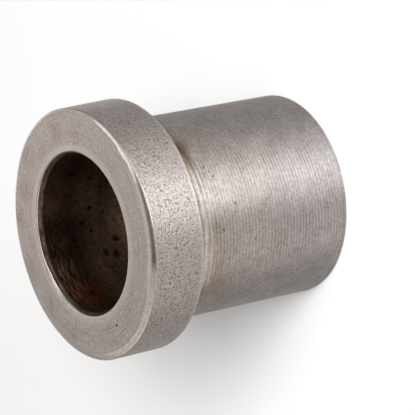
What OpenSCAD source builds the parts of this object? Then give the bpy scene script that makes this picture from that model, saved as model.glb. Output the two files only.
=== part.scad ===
// Flanged bushing, turned from one piece of steel.
// It stands on its plain end: the axis is +Z, z = 0 is the plain end face
// and the flange with its annular front face is at the top.
// All sizes are in millimetres.

/* [Overall] */
// Length from the plain end to the flange's front face
overall_len = 32; // [24:0.1:60]

/* [Flange] */
// Largest outside diameter of the flange, at its back edge
flange_d = 32; // [30.5:0.1:44]
// Outside diameter of the rim at the front: the rim narrows slightly to the front
flange_front_d = 31.9; // [30:0.1:43.9]
// Thickness of the flange, from its shoulder to its front face
flange_t = 7.5; // [4:0.5:12]
// Width of the bevel round the front face, measured along the radius
front_bevel_w = 0.6; // [0.1:0.05:1.2]
// Height of the bevel round the front face, measured along the axis
front_bevel_h = 0.2; // [0.1:0.05:1]
// Edge break between the rim and the shoulder
back_break = 0.15; // [0.05:0.05:0.6]

/* [Body] */
// Outside diameter of the cylindrical body
body_d = 26; // [24:0.1:28]
// Edge break at the plain end
end_break = 0.3; // [0.1:0.05:0.6]

/* [Shoulder rings] */
// Number of coarse tool rings beside the shoulder
ring_count = 5; // [1:1:8]
// Distance from one ring to the next
ring_pitch = 0.7; // [0.4:0.05:1]
// Depth of each ring below the body's surface
ring_depth = 0.05; // [0.02:0.01:0.2]
// Plain land between the shoulder and the first ring
ring_land = 0.3; // [0.3:0.1:1]

/* [Bore] */
// Diameter of the through bore
bore_d = 20; // [10:0.1:21]
// Width of the lead-in at the bore's mouth, measured along the radius
mouth_w = 0.4; // [0.1:0.05:0.8]
// Depth of the lead-in at the bore's mouth, measured along the axis
mouth_h = 0.7; // [0.1:0.05:2]
// Edge break of the bore at the plain end
bore_end_break = 0.3; // [0.1:0.05:0.8]

/* [Hidden] */
$fn = 180;

bore_r = bore_d / 2;
body_r = body_d / 2;
flange_r = flange_d / 2;
front_r = flange_front_d / 2;
shoulder_z = overall_len - flange_t;

// One tool ring is a shallow round-bottomed groove, five points down the body.
function ring_points(z) = [
    [body_r,                    z],
    [body_r - 0.75 * ring_depth, z - 0.25 * ring_pitch],
    [body_r - ring_depth,       z - 0.5 * ring_pitch],
    [body_r - 0.75 * ring_depth, z - 0.75 * ring_pitch],
];

// Outer side of the half section, from the front face down to the plain end.
function outer_points() = concat(
    [
        [front_r - front_bevel_w, overall_len],
        [front_r, overall_len - front_bevel_h],
        [flange_r, shoulder_z + back_break],
        [flange_r - back_break, shoulder_z],
        [body_r, shoulder_z],
    ],
    [for (i = [0 : ring_count - 1], p = ring_points(shoulder_z - ring_land - i * ring_pitch)) p],
    [
        [body_r, shoulder_z - ring_land - ring_count * ring_pitch],
        [body_r, end_break],
        [body_r - end_break, 0],
    ]
);

// Inner side of the half section, from the plain end up to the mouth.
function inner_points() = [
    [bore_r + bore_end_break, 0],
    [bore_r, bore_end_break],
    [bore_r, overall_len - mouth_h],
    [bore_r + mouth_w, overall_len],
];

// The whole bushing: one half section turned about the axis.
module bushing() {
    color([0.55, 0.52, 0.50])
        rotate_extrude()
            polygon(concat(outer_points(), inner_points()));
}

bushing();
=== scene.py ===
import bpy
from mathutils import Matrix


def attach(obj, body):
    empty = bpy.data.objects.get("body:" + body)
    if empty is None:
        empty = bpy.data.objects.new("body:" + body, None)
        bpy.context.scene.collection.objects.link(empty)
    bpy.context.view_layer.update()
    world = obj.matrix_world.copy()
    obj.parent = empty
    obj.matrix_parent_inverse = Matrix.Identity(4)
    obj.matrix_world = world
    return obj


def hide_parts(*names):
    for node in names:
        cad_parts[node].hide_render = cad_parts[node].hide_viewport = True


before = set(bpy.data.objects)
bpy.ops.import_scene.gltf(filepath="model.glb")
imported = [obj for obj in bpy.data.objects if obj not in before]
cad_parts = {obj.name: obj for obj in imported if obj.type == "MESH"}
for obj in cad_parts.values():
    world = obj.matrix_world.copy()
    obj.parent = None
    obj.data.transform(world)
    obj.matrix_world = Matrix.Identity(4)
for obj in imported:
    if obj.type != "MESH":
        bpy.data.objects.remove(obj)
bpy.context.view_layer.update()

import math

import bpy
import numpy as np
from mathutils import Matrix, Vector

MM = 0.001
LEN = 32.0        # length, plain end to front face
SHOULDER = 24.5   # height of the flange's underside
BORE = 10.0
BODY = 13.0
PITCH = 0.494     # feed per turn left on the body
rng = np.random.default_rng(3820)


# ---------------------------------------------------------------- numbers
def noise_table(seed, n):
    return np.random.default_rng(seed).uniform(-1.0, 1.0, n)


def wave(phi, seed, k_low, k_high):
    """Smooth periodic noise round the axis, about -1 to 1."""
    g = np.random.default_rng(seed)
    out = np.zeros_like(phi)
    for k in range(k_low, k_high + 1):
        out += g.normal() / math.sqrt(k) * np.sin(k * phi + g.uniform(0, 2 * math.pi))
    return out / max(1e-9, np.sqrt(sum(0.5 / k for k in range(k_low, k_high + 1))))


def line_noise(x, seed, cell):
    """Smooth noise along a line, about -1 to 1, with bumps about a cell long."""
    t = noise_table(seed, 4096)
    u = x / cell + 1000.0
    i = np.floor(u).astype(int)
    f = u - i
    f = f * f * (3 - 2 * f)
    return t[i % 4096] * (1 - f) + t[(i + 1) % 4096] * f


def smooth(a, b, x):
    t = np.clip((x - a) / (b - a), 0, 1)
    return t * t * (3 - 2 * t)


def window(phi, a, b, c, d):
    """1 from b to c degrees, falling to 0 at a and at d; a < b < c < d."""
    m = math.degrees(1) * gap(phi, (b + c) / 2) + (b + c) / 2
    return smooth(a, b, m) * smooth(d, c, m)


def gap(phi, deg):
    """Angle from deg to phi, in radians, -pi to pi."""
    return (phi - math.radians(deg) + math.pi) % (2 * math.pi) - math.pi


# ---------------------------------------------------------------- the turned form
# The surface is a closed stack of rings. Each ring is (N, radius, height, zone), with the
# radius and the height in mm at N angles round the axis.
rings = []
ZONES = ["face", "rim", "shoulder", "body", "end", "bore"]


marks = []  # one value a vertex: how deep a pit is, or where in a feed mark it lies
tones = []  # one value a vertex: how much brighter or darker the metal is, from wear and dirt and from painted highlight and shade


def add(n, zone, r_of, z_of, mark=None, tone=None):
    phi = np.arange(n) * 2 * math.pi / n
    r = np.broadcast_to(np.asarray(r_of(phi), float), n).copy()
    z = np.broadcast_to(np.asarray(z_of(phi), float), n).copy()
    rings.append((n, r, z, ZONES.index(zone)))
    marks.append(np.zeros(n) if mark is None else np.broadcast_to(np.asarray(mark(phi), float), n))
    tones.append(np.ones(n) if tone is None else np.clip(np.broadcast_to(np.asarray(tone(phi), float), n), 0, 4.0))


def flat(v):
    return lambda phi: np.full_like(phi, v)


N = 192
N_RIM = 768
N_FACE = 96
N_BORE = 96


# The bevel round the front face was cut off centre: narrow on the +X side, wide on -X.
def crease_r(phi):
    """Radius of the bevel's inner edge."""
    ex, ey, r = 0.331, -0.138, 15.312
    b = ex * np.cos(phi) + ey * np.sin(phi)
    return b + np.sqrt(b * b - ex * ex - ey * ey + r * r) + 0.03 * wave(phi, 11, 3, 14)


def front_r(phi):
    """Radius of the bevel's outer edge; the rim's front is a little off centre."""
    return 15.94 - 0.120 * np.cos(phi) - 0.088 * np.sin(phi)


def crease_width(phi):
    """How wide the bevel's inner edge is burnished."""
    return 0.05 + (0.19 + 0.06 * wave(phi, 23, 10, 45)) * window(phi, -75, -66, -44, -28)


def bevel_h(phi):
    """Depth of the bevel along the axis."""
    return 0.05 + 0.38 * (front_r(phi) - crease_r(phi))


def rim_r(phi, z):
    t = np.clip((z - SHOULDER - 0.15) / (LEN - 0.2 - SHOULDER - 0.15), 0, 1)
    return 16.0 + (front_r(phi) - 16.0) * t


# The lip of the bore's mouth, with a burnished edge that is broader at one side.
def lip(phi):
    return 0.05 + 0.15 * window(phi, 100, 116, 146, 165) + 0.012 * wave(phi, 5, 3, 12)


def mouth_dirt(phi):
    """The lead-in is black with grease on its upper left, as the picture shows it."""
    return 1 - 0.60 * window(phi, 66, 86, 108, 128)


MOUTH = 10.38

def edge_band(p, t):
    """The face is paler beside its outer edge, on the -Y side."""
    return 1 + 0.24 * window(p, -132, -118, -74, -58) * smooth(0.80, 0.97, t)


# face, from the mouth outwards
add(N, "bore", flat(MOUTH - 0.02), lambda p: LEN - 0.10 - lip(p) * 0.9, None, mouth_dirt)
add(N, "face", lambda p: MOUTH + 0.01 + lip(p) * 0.12, lambda p: LEN - 0.04 - lip(p) * 0.35, None, lambda p: mouth_dirt(p) * 0.75)
add(N, "face", lambda p: MOUTH + 0.04 + lip(p) * 0.55, lambda p: LEN - 0.012 - lip(p) * 0.08, None, lambda p: 0.62 + 0.85 * window(p, 110, 120, 150, 165))
add(N, "face", lambda p: MOUTH + 0.10 + lip(p), flat(LEN - 0.001))
FACE_RINGS = 26
for i in range(1, FACE_RINGS):
    t = i / FACE_RINGS

    def face_r(p, t=t):
        return (MOUTH + 0.10 + lip(p)) * (1 - t) + (crease_r(p) - 0.11 - crease_width(p)) * t

    def face_z(p, t=t):
        r = face_r(p)
        ring = 0.0022 * line_noise(r, 21, 0.23) + 0.0022 * np.sin(r * 2 * math.pi / 0.62)
        return LEN - 0.006 + ring * (0.5 + 0.5 * wave(p, 31, 1, 4) * 0.6)

    add(N_FACE if 1 < i < FACE_RINGS - 1 else N, "face", face_r, face_z, None, lambda p, t=t: edge_band(p, t))


def patchy(seed, low=0.4):
    """Wear that comes and goes along an edge."""
    return lambda p: low + (1 - low) * (0.5 + 0.5 * np.clip(wave(p, seed, 2, 40), -1, 1))


def crease_burnish_and_light(p):
    # burnished all along; the bright line at -75 to -26 degrees is a painted highlight, the darker stretch at -113 to
    # -80 degrees is painted shade, and two wide arcs are made paler
    line = 0.12 + 1.25 * window(p, -75, -69, -40, -26) * (1 - 0.45 * window(p, -57.5, -56.2, -55.6, -54.0))
    crease_shade = 1 - 0.32 * window(p, -113, -105, -90, -80)
    paler_arcs = 0.24 * window(p, -152, -138, -96, -84) + 0.20 * window(p, -15, 8, 52, 72)
    return crease_shade + paler_arcs + line * np.clip(0.85 + 0.15 * wave(p, 15, 2, 40) + 0.18 * wave(p, 13, 25, 95), 0.2, 1.6)


def bevel_painted_light(t):
    """A painted dark line of shade in the bevel at the right, and painted highlight and shade by angle over the rest of
    the bevel, duller toward its outer edge.
    """

    def tone(p):
        dark = window(p, -115, -107, -80, -58) * smooth(0.0, 0.35, t)
        pale = 0.04 + 0.10 * window(p, -185, -160, -128, -112) + 0.24 * window(p, 118, 136, 184, 200) * (1 - 0.6 * smooth(0.4, 0.7, t))
        pale = pale + 0.26 * window(p, -70, -62, -40, -22) * (1 - 0.9 * smooth(0.4, 0.7, t)) - 0.18 * window(p, 68, 86, 114, 130) * smooth(0.4, 0.8, t)
        return (1 + pale - 0.64 * dark) * (1 + 0.015 * wave(p, 19, 20, 90))

    return tone


def outer_wear(p):
    return 1 + 0.05 * patchy(17, 0.5)(p)


add(N, "face", lambda p: crease_r(p) - 0.10 - crease_width(p), flat(LEN - 0.002), None, lambda p: edge_band(p, 1.0))
add(2 * N, "face", lambda p: crease_r(p) - crease_width(p), flat(LEN - 0.001), None, crease_burnish_and_light)
add(2 * N, "face", lambda p: crease_r(p) + 0.03, flat(LEN - 0.010), None, crease_burnish_and_light)
add(2 * N, "face", lambda p: crease_r(p) + 0.06, lambda p: LEN - 0.014 - bevel_h(p) * 0.02, None, lambda p: 0.7 + 0.3 * crease_burnish_and_light(p))


# bevel
def bevel(t):
    def r(p):
        c = crease_r(p)
        return c * (1 - t) + front_r(p) * t

    def z(p):
        return LEN - bevel_h(p) * (t ** 1.25) - 0.004

    return r, z


for t in (0.18, 0.38, 0.58, 0.78):
    r, z = bevel(t)
    add(N, "face", r, z, None, bevel_painted_light(t))
add(N, "face", lambda p: front_r(p) - 0.055, lambda p: LEN - bevel_h(p) * 0.90, None, bevel_painted_light(0.8))
add(N_RIM, "rim", lambda p: front_r(p) - 0.008, lambda p: LEN - bevel_h(p) - 0.03, None, outer_wear)

# rim, with its larger pits cut in
PITS = [
    # angle, height, radius and depth in mm
    (-79.4, 27.1, 0.17, 0.06), (-82.2, 28.6, 0.15, 0.05), (-82.9, 27.6, 0.13, 0.05),
    (-83.5, 29.1, 0.18, 0.06), (-85.0, 29.1, 0.20, 0.07), (-84.9, 27.8, 0.14, 0.06),
    (-85.7, 26.0, 0.13, 0.05), (-85.6, 30.0, 0.16, 0.06), (-88.6, 30.3, 0.15, 0.06),
    (-89.3, 28.1, 0.14, 0.05), (-89.7, 28.6, 0.13, 0.05), (-92.4, 29.0, 0.19, 0.08),
    (-92.8, 28.3, 0.17, 0.08), (-92.8, 27.2, 0.15, 0.06), (-93.3, 26.6, 0.15, 0.06),
    (-93.9, 30.2, 0.14, 0.06), (-94.9, 29.9, 0.15, 0.06), (-96.7, 28.3, 0.16, 0.07),
    (-96.2, 30.4, 0.13, 0.05), (-97.1, 29.1, 0.14, 0.06), (-100.4, 27.5, 0.17, 0.07),
    (-100.2, 29.1, 0.13, 0.05), (-101.4, 27.8, 0.15, 0.07), (-98.1, 31.2, 0.14, 0.05),
    (-105.7, 25.6, 0.15, 0.06), (-105.7, 26.3, 0.16, 0.06), (-34.1, 27.5, 0.16, 0.06),
    (-38.7, 28.4, 0.15, 0.06), (-47.7, 30.6, 0.17, 0.06), (-45.8, 27.5, 0.14, 0.05),
    (-57.8, 28.4, 0.18, 0.07), (-61.2, 28.1, 0.17, 0.07), (-63.6, 27.9, 0.14, 0.05),
    (-60.4, 27.3, 0.15, 0.06), (-56.0, 25.7, 0.16, 0.06), (-64.9, 30.9, 0.15, 0.06),
    (-66.1, 30.6, 0.15, 0.06), (-67.5, 28.9, 0.16, 0.06), (-73.2, 30.1, 0.17, 0.07),
    (-73.8, 26.1, 0.18, 0.07), (-68.7, 30.2, 0.15, 0.05), (-64.9, 25.5, 0.14, 0.05),
]
for _ in range(300):
    a, h = rng.uniform(-180, 180), rng.uniform(25.3, 31.2)
    if not (-104 < a < -76 or -66 < a < -58):  # the measured ones are there already
        s = rng.beta(1.5, 3.5)
        PITS.append((a, h, 0.13 + 0.05 * s, 0.015 + 0.04 * s))


def rim_pits(phi, z):
    """How far the pits go in at each angle, on the ring at height z, and how dark they are."""
    d = np.zeros_like(phi)
    dark = np.zeros_like(phi)
    zz = float(np.mean(z))
    for a, h, s, deep in PITS:
        s = s * 0.72
        if abs(zz - h) < 2.2 * s:
            g = gap(phi, a)
            q = ((g * 15.9) ** 2 + (z - h) ** 2) / (s * s)
            d += deep * np.exp(-q * 1.1) - 0.16 * deep * np.exp(-((np.sqrt(q) - 1.55) ** 2) * 6)
            dark += min(1.0, deep / 0.05) * np.exp(-q * 1.5)
    return d * 0.85, np.clip(dark, 0, 1)


# Painted reflection and highlight: the rim is brightened along its +X side, where it glances toward the pale floor, and
# in its band of shine on the -Y side.
def rim_painted_sheen(p):
    return 1 + 0.35 * window(p, -26, -12, 4, 24) + 0.15 * window(p, -102, -90, -78, -66)


RIM_RINGS = 48
for i in range(RIM_RINGS):
    t = (i + 0.5) / RIM_RINGS

    def rim_z(p, t=t):
        top = LEN - bevel_h(p) - 0.08
        bottom = SHOULDER + 0.26
        return top * (1 - t) + bottom * t

    def rim_rr(p, t=t):
        z = rim_z(p)
        worn = 0.010 * wave(p, 41, 2, 9) * smooth(0, 0.3, t) + 0.004 * line_noise(z, 43, 0.5)
        return rim_r(p, z) - rim_pits(p, z)[0] + worn - 0.012

    def rim_mark(p, rim_z=rim_z):
        return rim_pits(p, rim_z(p))[1]

    add(N_RIM, "rim", rim_rr, rim_z, rim_mark, rim_painted_sheen)

# worn edge between the rim and the shoulder
add(N_RIM, "rim", lambda p: 15.985 + 0.008 * wave(p, 47, 3, 30), flat(SHOULDER + 0.20), None, flat(0.94))
add(N, "rim", lambda p: 15.965 + 0.008 * wave(p, 47, 3, 30), flat(SHOULDER + 0.135), None, flat(0.96))
add(N, "rim", lambda p: 15.915 + 0.006 * wave(p, 47, 3, 30), flat(SHOULDER + 0.07), None, flat(0.94))
add(N, "rim", lambda p: 15.84 + 0.006 * wave(p, 47, 3, 30), flat(SHOULDER + 0.022))
add(N, "shoulder", flat(15.74), flat(SHOULDER + 0.003))
for r in (15.2, 14.6, 14.0, 13.5, 13.25):
    add(N, "shoulder", flat(r), flat(SHOULDER + 0.0015 * math.sin(r * 40)))
add(N, "shoulder", flat(13.12), flat(SHOULDER - 0.012))
add(N, "shoulder", flat(13.045), flat(SHOULDER - 0.055))


# ---------------------------------------------------------------- body
# Feed marks: sharp crests between round hollows, on rings that lean as a helix would.
def lean(phi, z):
    amount, turn = 0.127 + 0.00128 * z, math.radians(98 + 1.68 * z)
    return amount * (np.sin(phi + turn) - math.sin(turn - math.radians(95)))


PROFILE = [1.0, -0.25, -0.85, -0.25]


def hump(z, at, wide):
    return math.exp(-((z - at) / wide) ** 2)


def coarse_rings_light_and_rust(p, z):
    """Painted highlights on the crests of the last tool rings and painted shade, with some dirt, in their hollows,
    mostly on the lit side; a painted shadow line under the flange's edge; painted light over the rings on the lit side;
    and rust at their upper end.
    """
    lit_side = window(p, -150, -125, -72, -60)
    out = 1 + 0.36 * hump(z, 22.0, 0.20) * lit_side + 0.20 * hump(z, 21.32, 0.13) * lit_side
    out = out - 0.30 * hump(z, 22.58, 0.14) - 0.26 * hump(z, 21.62, 0.13) * (0.4 + 0.6 * lit_side) - 0.10 * hump(z, 20.98, 0.10) * lit_side
    out = out + 0.24 * window(p, -142, -128, -98, -70) * float(smooth(20.4, 21.2, z))
    rust = window(p, -72, -60, -46, -36) * float(smooth(20.5, 21.7, z))
    return out * (1 - 0.14 * rust) * (1 + 0.06 * wave(p, 1300 + int(z * 4), 4, 30))


def body_painted_light(p, z):
    """Painted highlight and shade round the axis that shape the body's band of shine, and by the shoulder the painted
    light and rust of the coarse rings.
    """
    out = 1 + 0.09 * window(p, -58, -45, -15, 5) + 0.04 * np.exp(-(gap(p, -118) / math.radians(8)) ** 2)
    out = out - 0.04 * np.exp(-(gap(p, -84) / math.radians(8)) ** 2)
    out = out - 0.06 * np.exp(-(gap(p, -64) / math.radians(8)) ** 2) - 0.05 * np.exp(-(gap(p, -99) / math.radians(7)) ** 2)
    return out * coarse_rings_light_and_rust(p, z) if z > 20.3 else out


def rib_wear_and_shade(phi):
    """The feed marks are crisp on the side toward the camera and half worn off elsewhere; the painted shade in their
    hollows follows the same pattern.
    """
    return 0.35 + 0.65 * window(phi, -142, -122, -66, -48) + 0.12 * wave(phi, 67, 2, 8)


RIB = 0.0046
COARSE = [  # coarse tool rings by the shoulder: height of each crest, its size and half width, mm
    (24.17, 0.020, 0.14), (23.46, 0.028, 0.13), (22.76, 0.034, 0.13), (21.92, 0.042, 0.13), (21.25, 0.030, 0.12),
]


def body_ring(z0, height):
    """One ring of the body at height z0; height is its place in a feed mark, in mm."""

    def z_of(p):
        fade = smooth(0.45, 1.6, z0) * smooth(SHOULDER - 0.1, SHOULDER - 1.2, z0)
        return z0 + lean(p, z0) * fade

    def r_of(p):
        z = z_of(p)
        turn = math.floor((SHOULDER - z0) / PITCH + 1e-6)
        soft = 0.62 + 0.38 * line_noise(np.full_like(p, turn * 1.0), 61, 1.0)
        soft = soft * (1 + 0.30 * wave(p, 700 + turn, 1, 7) + 0.30 * wave(p, 1700 + turn, 8, 40)) * rib_wear_and_shade(p)
        end = smooth(0.35, 2.4, z0)
        amp = height * np.clip(soft, 0.15, 1.7) * (0.35 + 0.65 * end)
        low = 0.0045 * line_noise(z, 63, 1.3) + 0.003 * wave(p, 65, 1, 5)
        return BODY - 0.008 + amp + low + near_shoulder(p, z)

    return r_of, z_of


def near_shoulder(p, z):
    """The coarse tool rings, and the slightly deeper ground they stand on."""
    out = -0.030 * smooth(20.7, 21.3, z) * smooth(24.4, 24.0, z)
    for i, (c, size, wide) in enumerate(COARSE):
        m = 1 + 0.22 * wave(p, 900 + i, 1, 6)
        out = out + size * m * np.exp(-((z - c - 0.02 * wave(p, 930 + i, 1, 3)) / wide) ** 2)
    return out


add(N, "body", flat(13.0), flat(SHOULDER - 0.14))
add(N, "body", flat(12.975), flat(SHOULDER - 0.24))
z = SHOULDER - 0.34
place = 0.0
while z > 0.52:
    k, f = int(place) % 4, place % 1.0
    crest = PROFILE[k] * (1 - f) + PROFILE[(k + 1) % 4] * f
    step = 0.5 if z > 20.7 else 1.0  # rings stand closer by the shoulder
    r_of, z_of = body_ring(z, RIB * crest * step)
    add(N, "body", r_of, z_of, lambda p, c=crest * step: c * rib_wear_and_shade(p), lambda p, z=z: body_painted_light(p, z))
    z -= PITCH / 4 * step
    place += step
add(N, "body", flat(12.99), flat(0.40))
add(N, "body", flat(12.965), flat(0.29))
add(N, "body", flat(12.90), flat(0.17))
add(N, "body", flat(12.80), flat(0.075))
add(N, "body", flat(12.68), flat(0.018))
add(N, "end", flat(12.55), flat(0.001))
for r in (12.1, 11.6, 11.1, 10.7, 10.5):
    add(N, "end", flat(r), flat(0.0012 + 0.0012 * math.sin(r * 30)))
add(N, "end", flat(10.38), flat(0.004))
add(N, "end", flat(10.28), flat(0.035))
add(N, "bore", flat(10.12), flat(0.16))
add(N, "bore", flat(10.02), flat(0.27))


def bore_ring(h):
    def r_of(p):
        return BORE + 0.004 * line_noise(np.full_like(p, h), 71, 0.6) + 0.006 * wave(p, int(800 + h * 7), 1, 5) - 0.004

    return r_of, flat(h)


def bore_grease_and_painted_light(p, z):
    """Oily black on the left near the mouth, brighter toward the mouth and in a band beside the black; deep inside,
    painted light on one side of the wall.
    """
    near = 1 + 0.8 * float(smooth(22.5, 24.5, z))
    dark = (0.40 + 0.30 * float(smooth(28.5, 30.0, z))) * window(p, 68, 80, 100, 118) * float(smooth(22.5, 24.5, z))
    dry = 0.60 * window(p, 36, 50, 70, 84) * float(smooth(24.5, 27.0, z) * smooth(30.5, 28.5, z))
    lit = 0.9 * window(p, -60, 20, 84, 104) * float(smooth(22.5, 17.5, z))
    return near * (1 - dark) * (1 + dry) + lit


h = 0.42
bore_heights = list(np.arange(0.42, 16.0, 1.2)) + list(np.arange(16.2, 30.9, 0.34))
for h in bore_heights:
    r_of, z_of = bore_ring(float(h))
    add(N_BORE if 1.0 < h < 30.7 else N, "bore", r_of, z_of, None, lambda p, h=float(h): bore_grease_and_painted_light(p, h))
add(N, "bore", flat(10.0), flat(31.15), None, mouth_dirt)
add(N, "bore", lambda p: 10.005 + 0.004 * wave(p, 81, 2, 9), lambda p: 31.26 + 0.03 * wave(p, 82, 2, 9), None, mouth_dirt)
add(N, "bore", lambda p: 10.06 + 0.004 * wave(p, 81, 2, 9), lambda p: 31.40 + 0.03 * wave(p, 82, 2, 9), None, mouth_dirt)
add(N, "bore", flat(10.15), lambda p: 31.56 + 0.01 * wave(p, 82, 2, 9), None, mouth_dirt)
add(N, "bore", flat(10.26), flat(31.72), None, mouth_dirt)
add(N, "bore", flat(10.335), lambda p: LEN - 0.18 - lip(p) * 0.9, None, mouth_dirt)


# ---------------------------------------------------------------- the mesh
def stitch(a0, n0, b0, n1, out):
    """Faces between ring a (from vertex a0, n0 of them) and ring b."""
    if n0 == n1:
        for j in range(n0):
            k = (j + 1) % n0
            out.append((a0 + j, a0 + k, b0 + k, b0 + j))
    elif n1 > n0:
        m = n1 // n0
        for j in range(n0):
            k = (j + 1) % n0
            f = [b0 + (j * m + i) % n1 for i in range(m + 1)]
            half = m // 2
            for i in range(half):
                out.append((a0 + j, f[i + 1], f[i]))
            out.append((a0 + j, a0 + k, f[half]))
            for i in range(half, m):
                out.append((a0 + k, f[i + 1], f[i]))
    else:
        m = n0 // n1
        for j in range(n1):
            k = (j + 1) % n1
            f = [a0 + (j * m + i) % n0 for i in range(m + 1)]
            half = m // 2
            for i in range(half):
                out.append((b0 + j, f[i], f[i + 1]))
            out.append((b0 + k, b0 + j, f[half]))
            for i in range(half, m):
                out.append((b0 + k, f[i], f[i + 1]))


points, faces, zone = [], [], []
start = []
for n, r, z, s in rings:
    start.append(len(points))
    phi = np.arange(n) * 2 * math.pi / n
    points.extend(zip(r * np.cos(phi) * MM, r * np.sin(phi) * MM, z * MM))
for i in range(len(rings)):
    j = (i + 1) % len(rings)
    before = len(faces)
    stitch(start[i], rings[i][0], start[j], rings[j][0], faces)
    zone += [rings[j][3]] * (len(faces) - before)

mesh = bpy.data.meshes.new("bushing_turned")
mesh.from_pydata([tuple(map(float, p)) for p in points], [], faces)
mesh.polygons.foreach_set("material_index", zone)
mesh.polygons.foreach_set("use_smooth", [True] * len(faces))
mesh.update()
if sum(p.area * p.normal.dot(Vector((p.center.x, p.center.y, 0))) for p in mesh.polygons if zone[p.index] == 3) < 0:
    mesh.flip_normals()
    mesh.update()
for name, values in (("mark", marks), ("tone", tones)):
    layer = mesh.attributes.new(name, "FLOAT", "POINT")
    layer.data.foreach_set("value", np.concatenate(values).astype(np.float32))
bushing = bpy.data.objects.new("bushing_turned", mesh)
bpy.context.scene.collection.objects.link(bushing)
print("triangles", sum(len(f) - 2 for f in faces), "rings", len(rings))


# ---------------------------------------------------------------- materials
class Tree:
    """Short helper for building a node tree."""

    def __init__(self, name):
        self.mat = bpy.data.materials.new(name)
        self.mat.use_nodes = True
        self.t = self.mat.node_tree
        self.t.nodes.clear()
        self.out = self.t.nodes.new("ShaderNodeOutputMaterial")
        self.b = self.t.nodes.new("ShaderNodeBsdfPrincipled")
        self.t.links.new(self.b.outputs[0], self.out.inputs[0])
        co = self.t.nodes.new("ShaderNodeTexCoord")
        self.p = co.outputs["Object"]

    def link(self, src, dst):
        if isinstance(src, (int, float)):
            dst.default_value = src
        elif isinstance(src, (tuple, list)):
            dst.default_value = src if len(src) == len(dst.default_value) else tuple(src) + (1.0,)
        else:
            self.t.links.new(src, dst)

    def math(self, op, a, b=0.0, c=0.0, clamp=False):
        n = self.t.nodes.new("ShaderNodeMath")
        n.operation = op
        n.use_clamp = clamp
        self.link(a, n.inputs[0])
        self.link(b, n.inputs[1])
        self.link(c, n.inputs[2])
        return n.outputs[0]

    def vmath(self, op, a, b=(0, 0, 0), scale=None):
        n = self.t.nodes.new("ShaderNodeVectorMath")
        n.operation = op
        self.link(a, n.inputs[0])
        self.link(b, n.inputs[1])
        if scale is not None:
            n.inputs["Scale"].default_value = scale
        return n.outputs["Value"] if op in ("LENGTH", "DISTANCE", "DOT_PRODUCT") else n.outputs[0]

    def split(self, v):
        n = self.t.nodes.new("ShaderNodeSeparateXYZ")
        self.link(v, n.inputs[0])
        return n.outputs

    def combine(self, x, y, z):
        n = self.t.nodes.new("ShaderNodeCombineXYZ")
        for i, s in enumerate((x, y, z)):
            self.link(s, n.inputs[i])
        return n.outputs[0]

    def noise(self, v, scale, detail=3.0, rough=0.55, dims="3D", w=None, distort=0.0):
        n = self.t.nodes.new("ShaderNodeTexNoise")
        n.noise_dimensions = dims
        if dims != "1D":
            self.link(v, n.inputs["Vector"])
        if w is not None:
            self.link(w, n.inputs["W"])
        n.inputs["Scale"].default_value = scale
        n.inputs["Detail"].default_value = detail
        n.inputs["Roughness"].default_value = rough
        n.inputs["Distortion"].default_value = distort
        return n.outputs["Fac"]

    def voronoi(self, v, scale, feature="F1", randomness=1.0, color=False):
        n = self.t.nodes.new("ShaderNodeTexVoronoi")
        n.feature = feature
        self.link(v, n.inputs["Vector"])
        n.inputs["Scale"].default_value = scale
        n.inputs["Randomness"].default_value = randomness
        return (n.outputs["Distance"], n.outputs["Color"]) if color else n.outputs["Distance"]

    def ramp(self, x, stops, interp="LINEAR"):
        n = self.t.nodes.new("ShaderNodeValToRGB")
        n.color_ramp.interpolation = interp
        e = n.color_ramp.elements
        while len(e) < len(stops):
            e.new(0.5)
        for i, (pos, col) in enumerate(stops):
            e[i].position = pos
            e[i].color = (col, col, col, 1) if isinstance(col, (int, float)) else tuple(col) + (1,)
        self.link(x, n.inputs[0])
        return n.outputs[0]

    def remap(self, x, a, b, c=0.0, d=1.0, clamp=True, kind="LINEAR"):
        n = self.t.nodes.new("ShaderNodeMapRange")
        n.clamp = clamp
        n.interpolation_type = kind
        self.link(x, n.inputs["Value"])
        for s, v in (("From Min", a), ("From Max", b), ("To Min", c), ("To Max", d)):
            self.link(v, n.inputs[s])
        return n.outputs["Result"]

    def mix(self, f, a, b, blend="MIX"):
        n = self.t.nodes.new("ShaderNodeMix")
        n.data_type = "RGBA"
        n.blend_type = blend
        self.link(f, n.inputs[0])
        self.link(a, n.inputs[6])
        self.link(b, n.inputs[7])
        return n.outputs[2]

    def tint(self, f, col, by, amount=1.0):
        """Where f is 1, the metal is multiplied by a colour: a stain, or the brown of painted shade."""
        return self.mix(self.math("MULTIPLY", f, amount), col, by, "MULTIPLY")

    def bump(self, height, distance, strength=1.0, normal=None):
        n = self.t.nodes.new("ShaderNodeBump")
        n.inputs["Strength"].default_value = strength
        n.inputs["Distance"].default_value = distance
        self.link(height, n.inputs["Height"])
        if normal is not None:
            self.link(normal, n.inputs["Normal"])
        return n.outputs[0]

    def layer(self, name):
        n = self.t.nodes.new("ShaderNodeAttribute")
        n.attribute_name = name
        return n.outputs["Fac"]

    def pits(self, v, scale, few, size, many=1.0):
        """Round pits: 1 inside, 0 outside, and a ring of 1 round each one."""
        d, c = self.voronoi(v, scale, color=True)
        r = self.remap(self.split(c)[0], few, 1.0, 0.0, size)
        r = self.math("MULTIPLY", r, many)
        q = self.math("DIVIDE", d, self.math("MAXIMUM", r, 0.004))
        real = self.remap(r, 0.015, 0.05, 0.0, 1.0)
        inside = self.math("MULTIPLY", self.remap(q, 0.5, 1.1, 1.0, 0.0, kind="SMOOTHSTEP"), real)
        lip = self.remap(self.math("ABSOLUTE", self.math("SUBTRACT", q, 1.45)), 0.0, 0.5, 1.0, 0.0, kind="SMOOTHSTEP")
        return inside, self.math("MULTIPLY", lip, real)

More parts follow.
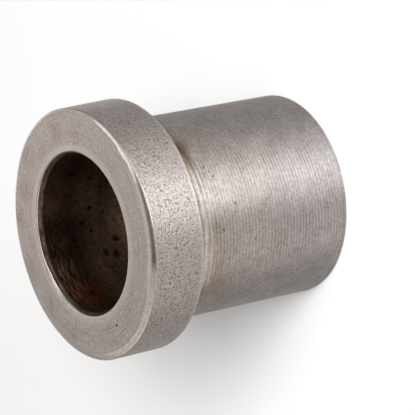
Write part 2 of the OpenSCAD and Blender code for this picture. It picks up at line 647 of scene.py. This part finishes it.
    def spot(self, centre, radius, soft=0.6, wobble=None):
        """1 near a point in mm, 0 beyond radius mm."""
        d = self.vmath("DISTANCE", self.p, tuple(c * MM for c in centre))
        if wobble is not None:
            d = self.math("MULTIPLY_ADD", wobble, radius * MM * 1.1, d)
            d = self.math("SUBTRACT", d, radius * MM * 0.55)
        return self.remap(d, radius * MM * (1 - soft), radius * MM, 1.0, 0.0, kind="SMOOTHSTEP")


def steel(f, warm=1.0):
    return (f * (1 + 0.115 * warm), f * 0.985, f * (1 - 0.075 * warm))


def metal(t, color, rough, metallic=1.0, aniso=0.0):
    """Metal; with aniso its shine spreads across the turning marks, along the axis."""
    n = t.t.nodes.new("ShaderNodeVectorMath")
    n.operation = "SCALE"
    t.link(color, n.inputs[0])
    t.link(t.layer("tone"), n.inputs["Scale"])
    t.link(n.outputs[0], t.b.inputs["Base Color"])
    t.link(rough, t.b.inputs["Roughness"])
    t.b.inputs["Metallic"].default_value = metallic
    if aniso:
        t.b.inputs["Anisotropic"].default_value = aniso
        t.b.inputs["Anisotropic Rotation"].default_value = 0.25
        n = t.t.nodes.new("ShaderNodeTangent")
        n.direction_type = "RADIAL"
        n.axis = "Z"
        t.link(n.outputs[0], t.b.inputs["Tangent"])


def polar(point, radius_mm, angle, z):
    a = math.radians(angle)
    return (radius_mm * math.cos(a), radius_mm * math.sin(a), z)


def face_material():
    t = Tree("turned_face")
    STEEL = (0.592, 0.528, 0.493)
    s = t.split(t.p)
    rho = t.vmath("LENGTH", t.combine(s[0], s[1], 0.0))
    big = t.noise(t.p, 160, 3)
    mid = t.noise(t.p, 900, 3)
    fine = t.noise(t.p, 4200, 3, 0.6)
    ring = t.noise(None, 1.0, 3, 0.6, "1D", w=t.math("MULTIPLY", rho, 2600.0))
    arc = t.noise(t.combine(t.math("MULTIPLY", s[0], 0.12), t.math("MULTIPLY", s[1], 0.12), t.math("MULTIPLY", rho, 3.0)), 1400, 3, 0.6)
    col = t.mix(t.remap(big, 0.35, 0.7, 0.0, 1.0), STEEL, tuple(c * 0.93 for c in STEEL))
    col = t.mix(t.remap(mid, 0.3, 0.75, 0.0, 0.5), col, tuple(c * 0.82 for c in STEEL))
    col = t.mix(t.remap(ring, 0.35, 0.7, 0.0, 0.5), col, tuple(c * 1.2 for c in STEEL))
    grain = t.noise(t.p, 3600, 3, 0.6)
    clump = t.noise(t.p, 1900, 3, 0.55)
    col = t.mix(t.remap(grain, 0.40, 0.72, 0.0, 0.8), col, tuple(c * 0.56 for c in STEEL))
    col = t.mix(t.remap(clump, 0.38, 0.68, 0.0, 0.6), col, tuple(c * 0.68 for c in STEEL))
    col = t.tint(t.math("MULTIPLY", t.remap(arc, 0.50, 0.62), t.remap(s[0], -0.004, -0.011, 0.5, 1.0)), col, (0.80, 0.79, 0.78), 0.85)
    # a paler ring round the mouth
    pale = t.math("MULTIPLY", t.remap(rho, 0.0116, 0.0110, 0.0, 1.0), t.remap(t.math("MULTIPLY_ADD", arc, 0.5, mid), 0.5, 0.9, 0.3, 1.0))
    col = t.mix(t.math("MULTIPLY", pale, 0.75), col, tuple(c * 1.14 for c in STEEL))
    # faint rust tints
    rust = (0.74, 0.62, 0.54)
    for (a, r, size, amount) in (
        (5, 13.1, 2.2, 0.50), (58, 12.9, 2.6, 0.35), (103, 14.4, 2.8, 0.50), (76, 14.5, 2.0, 0.50), (128, 13.4, 2.2, 0.35),
        (-15, 12.4, 1.8, 0.3), (40, 14.2, 2.2, 0.35), (90, 12.2, 1.6, 0.25), (150, 14.0, 2.0, 0.3), (25, 12.0, 1.5, 0.3),
    ):
        col = t.tint(t.spot(polar(None, r, a, LEN), size, 0.9, t.noise(t.p, 1300, 3)), col, rust, amount)
    # specks
    d, c = t.voronoi(t.p, 1500, color=True)
    size = t.remap(t.split(c)[0], 0.80, 1.0, 0.0, 0.22)
    speck = t.math("MULTIPLY", t.remap(t.math("SUBTRACT", d, size), -0.06, 0.02, 1.0, 0.0), t.remap(size, 0.0, 0.02, 0.0, 1.0))
    col = t.mix(t.math("MULTIPLY", speck, 0.35), col, (0.10, 0.085, 0.078))
    # the one deep pit
    pit = t.spot((-11.86, -3.99, LEN), 0.30, 0.7, t.noise(t.p, 4000, 2))
    halo = t.spot((-11.86, -3.99, LEN), 0.62, 0.6, t.noise(t.p, 3000, 2))
    col = t.mix(t.math("MULTIPLY", halo, 0.25), col, tuple(c * 1.3 for c in STEEL))
    col = t.mix(pit, col, (0.035, 0.025, 0.022))
    # burnished edges and painted highlights are whiter than the rest
    col = t.mix(t.remap(t.layer("tone"), 1.1, 1.8, 0.0, 0.8), col, (0.65, 0.595, 0.56))
    # and where the tone darkens the metal, with painted shade in the bevel and grease at the mouth, it is browner
    col = t.tint(t.remap(t.layer("tone"), 0.95, 0.55), col, (0.98, 0.92, 0.86))
    rough = t.remap(mid, 0.2, 0.8, 0.40, 0.52)
    rough = t.math("ADD", rough, t.math("MULTIPLY", fine, 0.06))
    metal(t, col, rough)
    h = t.math("ADD", t.math("MULTIPLY", ring, 0.55), t.math("MULTIPLY", arc, 0.5))
    h = t.math("MULTIPLY_ADD", fine, 0.5, h)
    h = t.math("MULTIPLY_ADD", speck, -0.8, h)
    h = t.math("MULTIPLY_ADD", pit, -5.0, h)
    h = t.math("MULTIPLY_ADD", grain, 0.8, h)
    h = t.math("MULTIPLY_ADD", clump, 0.6, h)
    t.link(t.bump(h, 0.000016, 0.9), t.b.inputs["Normal"])
    return t.mat


def rim_material():
    t = Tree("pitted_rim")
    s = t.split(t.p)
    base = (0.294, 0.255, 0.236)
    big = t.noise(t.p, 220, 3)
    mid = t.noise(t.p, 1500, 3)
    grain = t.noise(t.p, 3300, 3, 0.6)
    fine = t.noise(t.p, 6500, 3, 0.6)
    # pits of several sizes, thicker in patches and thin near both edges
    patch = t.remap(t.noise(t.p, 300, 3), 0.35, 0.62, 0.8, 1.0)
    band = t.math("MULTIPLY", t.remap(s[2], 0.0249, 0.0258, 0.15, 1.0), t.remap(s[2], 0.0317, 0.0309, 0.35, 1.0))
    many = t.math("MULTIPLY", t.math("MULTIPLY", patch, band), t.remap(s[0], -0.0075, 0.0, 1.30, 0.92))
    p1, lip1 = t.pits(t.p, 2600, 0.14, 0.42, many)
    p2, lip2 = t.pits(t.vmath("ADD", t.p, (0.013, 0.007, 0.003)), 3900, 0.08, 0.48, many)
    p3, lip3 = t.pits(t.vmath("ADD", t.p, (0.003, 0.017, 0.005)), 1400, 0.60, 0.20, many)
    worm = t.remap(t.noise(t.p, 3500, 1, 0.5, distort=0.1), 0.57, 0.70, 0.0, 1.0)
    small = t.math("MAXIMUM", t.math("MAXIMUM", p1, t.math("MULTIPLY", p2, 0.85)), p3)
    small = t.math("MULTIPLY", small, t.remap(t.noise(t.p, 1900, 1), 0.36, 0.64, 0.35, 1.1))  # few are deep
    cut = t.layer("mark")
    pits = t.math("MAXIMUM", t.math("MULTIPLY", small, 0.95), t.math("MULTIPLY", cut, 1.05), clamp=True)
    lips = t.math("MAXIMUM", t.math("MAXIMUM", lip1, t.math("MULTIPLY", lip2, 0.6)), lip3)
    col = t.mix(t.remap(big, 0.35, 0.7), base, tuple(c * 0.92 for c in base))
    col = t.mix(t.remap(mid, 0.35, 0.75, 0.0, 0.4), col, tuple(c * 0.82 for c in base))
    col = t.mix(t.remap(grain, 0.42, 0.70, 0.0, 0.75), col, tuple(c * 0.52 for c in base))
    col = t.mix(t.remap(fine, 0.56, 0.72, 0.0, 0.5), col, tuple(c * 1.35 for c in base))
    col = t.mix(t.math("MULTIPLY", lips, 0.35), col, tuple(c * 1.4 for c in base))
    col = t.mix(t.remap(s[2], 0.02510, 0.02480, 0.0, 0.5), col, tuple(c * 1.35 for c in base))
    col = t.tint(t.math("MULTIPLY", worm, many), col, (0.40, 0.375, 0.36), 0.82)
    col = t.mix(t.math("MULTIPLY", pits, 0.68), col, (0.036, 0.029, 0.026))
    metal(t, col, t.remap(mid, 0.2, 0.8, 0.44, 0.54), aniso=0.6)
    h = t.math("MULTIPLY", fine, 0.6)
    h = t.math("MULTIPLY_ADD", grain, 1.1, h)
    h = t.math("MULTIPLY_ADD", mid, 0.7, h)
    h = t.math("MULTIPLY_ADD", small, -1.0, h)
    h = t.math("MULTIPLY_ADD", worm, -0.9, h)
    h = t.math("MULTIPLY_ADD", lips, 0.25, h)
    t.link(t.bump(h, 0.000030, 0.9), t.b.inputs["Normal"])
    return t.mat


def body_material():
    t = Tree("turned_body")
    near, far = (0.411, 0.371, 0.345), (0.426, 0.394, 0.379)  # browner by the flange
    STEEL = tuple((a + b) / 2 for a, b in zip(near, far))
    s = t.split(t.p)
    wide = t.combine(t.math("MULTIPLY", s[0], 0.10), t.math("MULTIPLY", s[1], 0.10), s[2])
    streak = t.noise(wide, 5200, 3, 0.6)
    streak2 = t.noise(wide, 1900, 2, 0.5)
    big = t.noise(t.p, 150, 3)
    mid = t.noise(t.p, 1100, 3)
    fine = t.noise(t.p, 5200, 3, 0.6)
    col = t.mix(t.remap(s[2], 0.019, 0.003), near, far)
    col = t.tint(t.remap(streak, 0.72, 0.3, 0.0, 1.0), col, (0.82, 0.81, 0.80))
    col = t.tint(t.remap(big, 0.4, 0.7, 0.0, 0.5), col, (0.86, 0.855, 0.85))
    # brown and olive stains by the shoulder
    w = t.noise(wide, 1500, 3)
    for (x, y, z, size, amount, tint) in (
        (8.2, -10.1, 21.6, 1.8, 1.00, (0.70, 0.52, 0.40)),
        (7.2, -10.8, 22.4, 1.7, 0.90, (0.80, 0.62, 0.50)),
        (6.3, -11.4, 21.8, 1.8, 0.85, (0.86, 0.72, 0.62)),
        (5.0, -12.0, 22.2, 1.5, 0.55, (0.90, 0.78, 0.69)),
        (3.6, -12.5, 21.6, 1.4, 0.40, (0.96, 0.88, 0.78)),
        (0.4, -13.0, 21.9, 1.8, 0.35, (1.00, 0.94, 0.84)),
        (-2.6, -12.7, 20.6, 1.8, 0.75, (0.90, 0.88, 0.70)),
        (-5.2, -11.9, 21.5, 2.6, 0.42, (0.98, 0.86, 0.72)),
        (-9.0, -9.4, 19.6, 2.6, 0.55, (0.95, 0.78, 0.64)),
        (-7.3, -10.8, 20.6, 2.2, 0.45, (0.98, 0.86, 0.72)),
    ):
        col = t.tint(t.spot((x, y, z), size, 0.9, w), col, tint, amount)
    for (a, z, size) in (
        (-67, 20.1, 0.20), (-70, 19.6, 0.16), (-71, 20.4, 0.14), (-73, 19.3, 0.18), (-75, 19.8, 0.14), (-90, 17.2, 0.18),
        (-103, 19.4, 0.20), (-104, 19.9, 0.13), (-116, 19.3, 0.16), (-95, 17.4, 0.12), (-112, 14.6, 0.12), (-120, 18.6, 0.13),
    ):
        q = t.spot(polar(None, 13.0, a, z), size * 1.3, 0.7, t.noise(t.p, 2600, 2))
        col = t.tint(q, col, (0.30, 0.25, 0.22), 0.9)
    d, c = t.voronoi(t.p, 1100, color=True)
    size = t.remap(t.split(c)[0], 0.86, 1.0, 0.0, 0.20)
    speck = t.math("MULTIPLY", t.remap(t.math("SUBTRACT", d, size), -0.06, 0.02, 1.0, 0.0), t.remap(size, 0.0, 0.02, 0.0, 1.0))
    col = t.mix(t.math("MULTIPLY", speck, 0.6), col, (0.08, 0.065, 0.058))
    grain = t.noise(t.p, 4300, 2, 0.6)
    clump = t.noise(t.p, 2300, 2, 0.5)
    col = t.tint(t.remap(grain, 0.42, 0.70), col, (0.42, 0.40, 0.39), 0.45)
    col = t.tint(t.remap(clump, 0.38, 0.64), col, (0.58, 0.56, 0.55), 0.40)
    worn = t.remap(t.noise(t.p, 420, 3), 0.35, 0.65, 0.5, 1.0)
    p1, _ = t.pits(t.p, 2600, 0.45, 0.38, worn)
    p2, _ = t.pits(t.vmath("ADD", t.p, (0.011, 0.004, 0.006)), 4300, 0.40, 0.46, worn)
    small = t.math("MAXIMUM", p1, t.math("MULTIPLY", p2, 0.8))
    col = t.mix(t.math("MULTIPLY", small, 0.55), col, (0.055, 0.042, 0.036))
    col = t.tint(t.remap(t.noise(t.p, 700, 4, 0.6), 0.50, 0.70), col, (0.93, 0.885, 0.84), 0.7)
    # painted shade with some dirt: the hollows of the feed marks are darkened, most where the marks are crisp
    groove_shade_and_dirt = t.remap(t.math("MULTIPLY_ADD", grain, 0.7, t.math("SUBTRACT", t.layer("mark"), 0.35)), -1.0, 0.9, t.remap(t.noise(t.p, 380, 3), 0.35, 0.65, 0.28, 0.54), 0.0)
    col = t.mix(groove_shade_and_dirt, col, (0.045, 0.034, 0.028))
    rough = t.remap(mid, 0.2, 0.8, 0.51, 0.61)
    metal(t, col, rough, aniso=0.75)
    h = t.math("MULTIPLY", streak, 1.0)
    h = t.math("MULTIPLY_ADD", streak2, 0.5, h)
    h = t.math("MULTIPLY_ADD", fine, 0.35, h)
    h = t.math("MULTIPLY_ADD", speck, -1.4, h)
    h = t.math("MULTIPLY_ADD", small, -0.9, h)
    h = t.math("MULTIPLY_ADD", grain, 0.9, h)
    h = t.math("MULTIPLY_ADD", clump, 0.8, h)
    t.link(t.bump(h, 0.000014, 0.9), t.b.inputs["Normal"])
    return t.mat


def plain_material(name, tone=1.0):
    t = Tree(name)
    STEEL = steel(0.22)
    s = t.split(t.p)
    rho = t.vmath("LENGTH", t.combine(s[0], s[1], 0.0))
    ring = t.noise(None, 1.0, 3, 0.6, "1D", w=t.math("MULTIPLY", rho, 3600.0))
    mid = t.noise(t.p, 700, 4)
    fine = t.noise(t.p, 4200, 3, 0.6)
    col = t.mix(t.remap(mid, 0.3, 0.7), tuple(c * tone for c in STEEL), tuple(c * tone * 0.84 for c in STEEL))
    col = t.mix(t.remap(ring, 0.35, 0.7, 0.0, 0.4), col, tuple(c * tone * 1.15 for c in STEEL))
    m = t.remap(t.noise(t.p, 260, 4), 0.60, 0.74, 0.0, 0.45)
    col = t.mix(m, col, (0.20, 0.125, 0.085))
    metal(t, col, t.remap(mid, 0.2, 0.8, 0.38, 0.52))
    h = t.math("MULTIPLY_ADD", fine, 0.4, t.math("MULTIPLY", ring, 0.8))
    t.link(t.bump(h, 0.000009, 0.8), t.b.inputs["Normal"])
    return t.mat


def bore_material():
    t = Tree("oily_bore")
    STEEL = steel(0.25)
    s = t.split(t.p)
    wide = t.combine(t.math("MULTIPLY", s[0], 0.12), t.math("MULTIPLY", s[1], 0.12), s[2])
    streak = t.noise(wide, 2600, 4, 0.6)
    blot = t.noise(t.p, 520, 4, 0.6)
    mid = t.noise(t.p, 1500, 3)
    dark, brown = (0.020, 0.0105, 0.0065), (0.062, 0.034, 0.021)
    col = t.mix(t.remap(blot, 0.32, 0.68), brown, dark)
    col = t.mix(t.remap(streak, 0.45, 0.75, 0.0, 0.6), col, (0.112, 0.067, 0.045))
    # painted light: deeper in, the bore is made a paler brown, standing in for light from the far end
    deep = t.remap(s[2], 0.0270, 0.0165, 0.0, 1.0)
    col = t.mix(deep, col, t.mix(t.remap(blot, 0.32, 0.68), (0.52, 0.350, 0.245), (0.21, 0.130, 0.085)))
    col = t.mix(t.remap(streak, 0.50, 0.72, 0.0, 0.5), col, (0.010, 0.006, 0.004))
    mesh_dirt = t.noise(t.p, 2700, 3, 0.6)
    col = t.tint(t.remap(mesh_dirt, 0.42, 0.66), col, (0.35, 0.32, 0.30), 0.8)
    for (x, y, z, size) in (
        (3.1, 9.5, 24.2, 0.75), (1.4, 9.9, 25.5, 0.75), (7.8, 6.3, 27.8, 0.7), (6.9, 7.3, 24.5, 0.7),
        (-1.4, 9.9, 20.9, 1.0), (-2.9, 9.6, 23.0, 0.8), (-3.3, 9.4, 21.6, 1.1), (4.2, 9.1, 26.3, 0.35),
        (2.3, 9.7, 22.1, 0.4), (0.2, 10.0, 24.3, 0.4), (5.6, 8.3, 22.6, 0.5), (-0.6, 10.0, 27.0, 0.4),
    ):
        m = t.spot((x, y, z), size * 0.74, 0.7, t.noise(t.p, 2600, 3))
        col = t.tint(m, col, (0.16, 0.14, 0.12), 0.95)
    rust = t.spot((-7.5, 6.6, 28.6), 3.4, 0.85, mid)
    col = t.mix(t.math("MULTIPLY", rust, 0.9), col, (0.112, 0.036, 0.010))
    # circular scratches behind the lead-in
    thin = t.noise(wide, 6000, 2, 0.5)
    left = t.remap(t.math("SUBTRACT", s[1], t.math("MULTIPLY", s[0], 0.6)), 0.0085, 0.0110, 0.0, 1.0)
    left = t.math("MULTIPLY", left, t.remap(s[2], 0.0262, 0.0285, 0.0, 1.0))
    col = t.mix(t.math("MULTIPLY", t.remap(thin, 0.53, 0.62, 0.0, 0.6), left), col, (0.100, 0.060, 0.040))
    col = t.mix(t.math("MULTIPLY", t.remap(thin, 0.48, 0.40), left), col, (0.007, 0.004, 0.003))
    # a scratch across the lower left
    way = t.vmath("DOT_PRODUCT", t.vmath("SUBTRACT", t.p, (-0.0073, 0.0068, 0.0260)), (0.065, 0.070, 0.995))
    along = t.vmath("DISTANCE", t.p, (-0.0073, 0.0068, 0.0260))
    line = t.math("MULTIPLY", t.remap(t.math("ABSOLUTE", way), 0.00006, 0.00016, 1.0, 0.0), t.remap(along, 0.0015, 0.0022, 1.0, 0.0))
    col = t.mix(t.math("MULTIPLY", line, 0.7), col, (0.10, 0.065, 0.045))
    # lead-in at the mouth: barer metal, smeared with grease
    grime = t.math("MULTIPLY_ADD", t.noise(t.p, 900, 4, 0.6), 0.5, t.math("MULTIPLY", t.noise(wide, 3000, 3, 0.6), 0.5))
    edge = t.math("MULTIPLY_ADD", t.math("SUBTRACT", grime, 0.5), 0.0007, s[2])
    bare = t.remap(edge, 0.03115, 0.03150, 0.0, 1.0)
    ring = t.mix(t.remap(grime, 0.43, 0.57), (0.120, 0.088, 0.068), (0.036, 0.024, 0.017))
    col = t.mix(bare, col, ring)
    metal(t, col, t.remap(blot, 0.3, 0.7, 0.46, 0.62), metallic=1.0)
    h = t.math("MULTIPLY_ADD", streak, 1.2, t.math("MULTIPLY", mid, 0.5))
    t.link(t.bump(h, 0.000014, 0.8), t.b.inputs["Normal"])
    return t.mat


mesh.materials.append(face_material())
mesh.materials.append(rim_material())
mesh.materials.append(plain_material("turned_shoulder", 0.9))
mesh.materials.append(body_material())
mesh.materials.append(plain_material("turned_end"))
mesh.materials.append(bore_material())

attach(bushing, "root")
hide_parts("bushing")

# ---------------------------------------------------------------- floor
fm = bpy.data.meshes.new("floor")
e = 3.0
fm.from_pydata([(-e, -e, 0), (e, -e, 0), (e, e, 0), (-e, e, 0)], [], [(0, 1, 2, 3)])
floor = bpy.data.objects.new("floor", fm)
bpy.context.scene.collection.objects.link(floor)
t = Tree("pale_floor")
t.b.inputs["Base Color"].default_value = (0.82, 0.82, 0.817, 1)
t.b.inputs["Roughness"].default_value = 0.85
t.b.inputs["Specular IOR Level"].default_value = 0.2
fm.materials.append(t.mat)

# ---------------------------------------------------------------- light
TARGET = Vector((0, 0, 0.016))
LIGHTS = [
    # name, azimuth and elevation it comes from, distance, width and height in m, radiance, tint
    ("key_low", -75, 6, 0.9, 0.45, 0.20, 28.2, (0.95, 1.012, 1.07)),
    ("key_high", -75, 42, 0.9, 0.45, 0.30, 15.5, (0.99, 1.0, 1.01)),
    ("side_low", -45, 6, 0.9, 0.45, 0.20, 11.1, (0.98, 1.0, 1.02)),
    ("fill_1", -120, 6, 0.9, 0.45, 0.20, 5.2, (1.0, 1.0, 1.0)),
    ("fill_2", -150, 6, 0.9, 0.45, 0.20, 7.8, (1.0, 1.0, 1.0)),
    ("back", 75, 24, 0.9, 0.45, 0.30, 2.1, (1.05, 1.0, 0.95)),
    ("back_left", 140, 42, 0.9, 0.45, 0.30, 1.8, (1.03, 1.0, 0.97)),
    ("top", -70, 62, 0.9, 0.45, 0.30, 4.3, (1.04, 1.0, 0.96)),
]


def soft_light(name, azimuth, elevation, distance, width, height, radiance, tint=(1.0, 1.0, 1.0)):
    d = bpy.data.lights.new(name, "AREA")
    d.shape = "RECTANGLE"
    d.size, d.size_y = width, height
    d.energy = radiance * math.pi * width * height
    d.color = tint
    o = bpy.data.objects.new(name, d)
    bpy.context.scene.collection.objects.link(o)
    a, e = math.radians(azimuth), math.radians(elevation)
    way = Vector((math.cos(a) * math.cos(e), math.sin(a) * math.cos(e), math.sin(e)))
    o.location = TARGET + way * distance
    o.rotation_euler = way.to_track_quat("Z", "Y").to_euler()
    o.visible_camera = False
    return o


for row in LIGHTS:
    soft_light(*row)

world = bpy.data.worlds.new("studio")
bpy.context.scene.world = world
world.use_nodes = True
world.node_tree.nodes["Background"].inputs[0].default_value = (0.28, 0.28, 0.28, 1)
world.node_tree.nodes["Background"].inputs[1].default_value = 1.0
bpy.context.scene.view_settings.view_transform = "Standard"

# ---------------------------------------------------------------- camera
# The photograph's camera, found by fitting the bushing's outlines; it is rolled so that the
# bushing lies in the picture as it does in the photograph while it stands on its end here.
cam = bpy.data.cameras.new("camera")
cam.sensor_width = 36.0
cam.lens = 229.01
cam.clip_start, cam.clip_end = 0.01, 20.0
camera = bpy.data.objects.new("camera", cam)
bpy.context.scene.collection.objects.link(camera)
right = Vector((-0.197179, -0.550364, -0.811307))
up = Vector((0.980367, -0.111107, -0.162896))
back = right.cross(up)
m = Matrix((right, up, back)).transposed().to_4x4()
m.translation = Vector((0.0, -0.280474, 0.202880))
camera.matrix_world = m
bpy.context.scene.camera = camera
